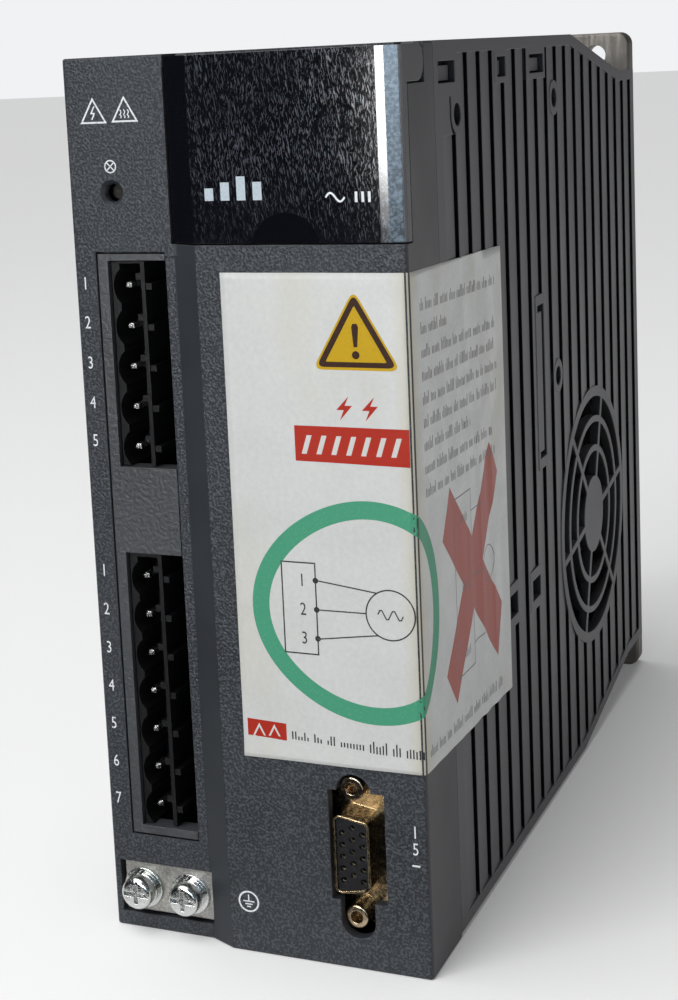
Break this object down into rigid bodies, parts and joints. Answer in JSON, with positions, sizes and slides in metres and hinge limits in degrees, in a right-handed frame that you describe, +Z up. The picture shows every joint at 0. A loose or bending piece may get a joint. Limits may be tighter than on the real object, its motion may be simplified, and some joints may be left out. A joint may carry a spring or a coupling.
{
  "type": "servo drive",
  "caption": "Slim panel-mounted servo drive with louvred side, fan grille, flip-up keypad door, screwless power headers, earth terminals and encoder connector on an aluminium rear plate.",
  "frame": {"origin": "centre of the overall box in X and Y, at the level the drive stands on", "axes": "+X to the drive's right seen from its front, +Y from its front to its rear plate, +Z up"},
  "size_m": [0.0662, 0.185, 0.168],
  "materials": {
    "cover_plastic": "coarse spark-eroded texture, dark blue-grey",
    "case_plastic": "fine matte texture, dark grey",
    "door_pane": "gloss black, finely scratched",
    "door_plastic": "matte dark grey",
    "header_plastic": "black moulded",
    "raw_aluminium": "extruded, lightly brushed and handled",
    "zinc_steel": "zinc plated",
    "tinned_copper": "bright tin plate",
    "yellow_chromate": "tarnished yellow passivated shell",
    "label_paper": "matt white paper with print",
    "circuit_board": "green solder mask",
    "component_black": "moulded epoxy",
    "capacitor_sleeve": "shrink sleeve",
    "relay_case": "moulded blue case",
    "winding_copper": "enamelled wire on a ferrite ring",
    "fan_plastic": "black moulded",
    "key_plastic": "grey key caps",
    "display_lens": "dark red display face",
    "lamp_lens": "clear light guide"
  },
  "bodies": {
    "drive": {"rear_plate": "raw_aluminium", "plate_screws": "zinc_steel", "heat_sink": "raw_aluminium", "main_shell": "case_plastic", "side_cover": "case_plastic", "side_cover_screws": "zinc_steel", "cover_posts": "zinc_steel", "front_cover": "cover_plastic", "key_switches": "component_black", "panel_board": "circuit_board", "panel_board_screws": "zinc_steel", "display_module": "display_lens", "panel_connector": "header_plastic", "terminal_bezel": "cover_plastic", "header_5_pole": "header_plastic", "header_7_pole": "header_plastic", "header_5_pins": "tinned_copper", "header_7_pins": "tinned_copper", "earth_tab": "zinc_steel", "earth_flat_washers": "zinc_steel", "earth_split_washers": "zinc_steel", "earth_screws": "zinc_steel", "earth_link_screw": "zinc_steel", "dsub_shell": "yellow_chromate", "dsub_insert": "header_plastic", "dsub_contacts": "yellow_chromate", "jack_screws": "yellow_chromate", "signal_connector": "header_plastic", "control_board": "circuit_board", "control_chips": "component_black", "control_spacers": "zinc_steel", "control_board_screws": "zinc_steel", "power_board": "circuit_board", "power_spacers": "zinc_steel", "power_board_screws": "zinc_steel", "power_module": "component_black", "rectifier_bridge": "component_black", "power_device_screws": "zinc_steel", "bus_capacitors": "capacitor_sleeve", "soft_charge_relay": "relay_case", "filter_choke": "winding_copper", "supply_transformer": "component_black", "line_fuse": "tinned_copper", "link_board": "circuit_board", "link_connectors": "header_plastic", "charge_lamp": "lamp_lens", "fan_frame": "fan_plastic", "fan_screws": "zinc_steel", "warning_label": "label_paper"},
    "door": {"door_window": "door_pane", "door_frame": "door_plastic", "hinge_pins": "zinc_steel"},
    "fan": {"fan_rotor": "fan_plastic"},
    "key_1": {"key_1": "key_plastic"},
    "key_2": {"key_2": "key_plastic"},
    "key_3": {"key_3": "key_plastic"},
    "key_4": {"key_4": "key_plastic"},
    "key_5": {"key_5": "key_plastic"}
  },
  "joints": [
    {"name": "door_hinge", "type": "hinge", "parent": "drive", "child": "door", "pos_m": [0.00994, -0.08295, 0.16465], "axis": [-1, 0, 0], "range_deg": [0, 95]},
    {"name": "fan_spin", "type": "hinge", "parent": "drive", "child": "fan", "pos_m": [0.02094, 0.03665, 0.055], "axis": [1, 0, 0], "continuous": true},
    {"name": "key_1_press", "type": "slide", "parent": "drive", "child": "key_1", "axis": [0, 1, 0], "range_m": [0, 0.0004], "stiffness_N_per_m": 400},
    {"name": "key_2_press", "type": "slide", "parent": "drive", "child": "key_2", "axis": [0, 1, 0], "range_m": [0, 0.0004], "stiffness_N_per_m": 400},
    {"name": "key_3_press", "type": "slide", "parent": "drive", "child": "key_3", "axis": [0, 1, 0], "range_m": [0, 0.0004], "stiffness_N_per_m": 400},
    {"name": "key_4_press", "type": "slide", "parent": "drive", "child": "key_4", "axis": [0, 1, 0], "range_m": [0, 0.0004], "stiffness_N_per_m": 400},
    {"name": "key_5_press", "type": "slide", "parent": "drive", "child": "key_5", "axis": [0, 1, 0], "range_m": [0, 0.0004], "stiffness_N_per_m": 400}
  ]
}
